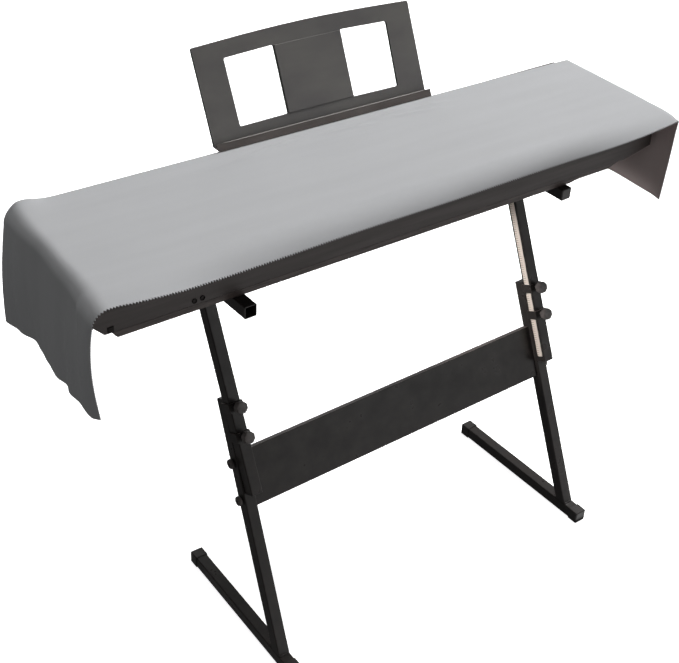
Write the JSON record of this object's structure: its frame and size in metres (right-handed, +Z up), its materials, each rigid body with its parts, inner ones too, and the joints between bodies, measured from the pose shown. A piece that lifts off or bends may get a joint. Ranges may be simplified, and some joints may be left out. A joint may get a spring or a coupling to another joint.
{
  "type": "digital piano dust cover draped over a slim digital piano on a stand",
  "caption": "Open sheet of soft cloth draped over the flat top and short ends of a slim keyboard instrument with a music rest, on a plain leaning steel stand.",
  "frame": {"origin": "on the floor, under the middle of the object's box, between the four foot caps", "axes": "+X from the piano's left end to its right end as the player sees it, -Y towards the player, +Z up"},
  "size_m": [1.3643, 0.606, 1.0637],
  "materials": {
    "cloth": "pale grey brushed knit, soft and matt, pinked front edge",
    "piano_plastic": "dark brown-grey moulded plastic, satin",
    "rest_plastic": "warm grey moulded plastic, satin",
    "stand_paint": "black powder coat, fine grain",
    "black_plastic": "black moulded plastic",
    "scale_print": "beige printed strip"
  },
  "bodies": {
    "root": {"cover_sheet": "cloth", "piano_shell": "piano_plastic", "piano_bottom_board": "piano_plastic", "music_rest_panel": "rest_plastic", "music_rest_ledge": "rest_plastic", "foot_left": "stand_paint", "foot_right": "stand_paint", "foot_cap_left_front": "black_plastic", "foot_cap_left_back": "black_plastic", "foot_cap_right_front": "black_plastic", "foot_cap_right_back": "black_plastic", "lower_post_left": "stand_paint", "lower_post_right": "stand_paint", "post_plug_left": "black_plastic", "post_plug_right": "black_plastic", "upper_tube_left": "stand_paint", "upper_tube_right": "stand_paint", "tube_plug_left": "black_plastic", "tube_plug_right": "black_plastic", "arm_left": "stand_paint", "arm_right": "stand_paint", "arm_plug_left_back": "black_plastic", "arm_plug_right_back": "black_plastic", "arm_plug_right_front": "black_plastic", "strap_left_upper": "stand_paint", "strap_left_lower": "stand_paint", "strap_right_upper": "stand_paint", "strap_right_lower": "stand_paint", "knob_left_upper": "black_plastic", "knob_left_lower": "black_plastic", "knob_right_upper": "black_plastic", "knob_right_lower": "black_plastic", "crossbar": "stand_paint", "side_screw_left_upper": "black_plastic", "side_screw_left_lower": "black_plastic", "side_screw_right_upper": "black_plastic", "side_screw_right_lower": "black_plastic", "height_scale_left": "scale_print", "height_scale_right": "scale_print"}
  },
  "joints": []
}
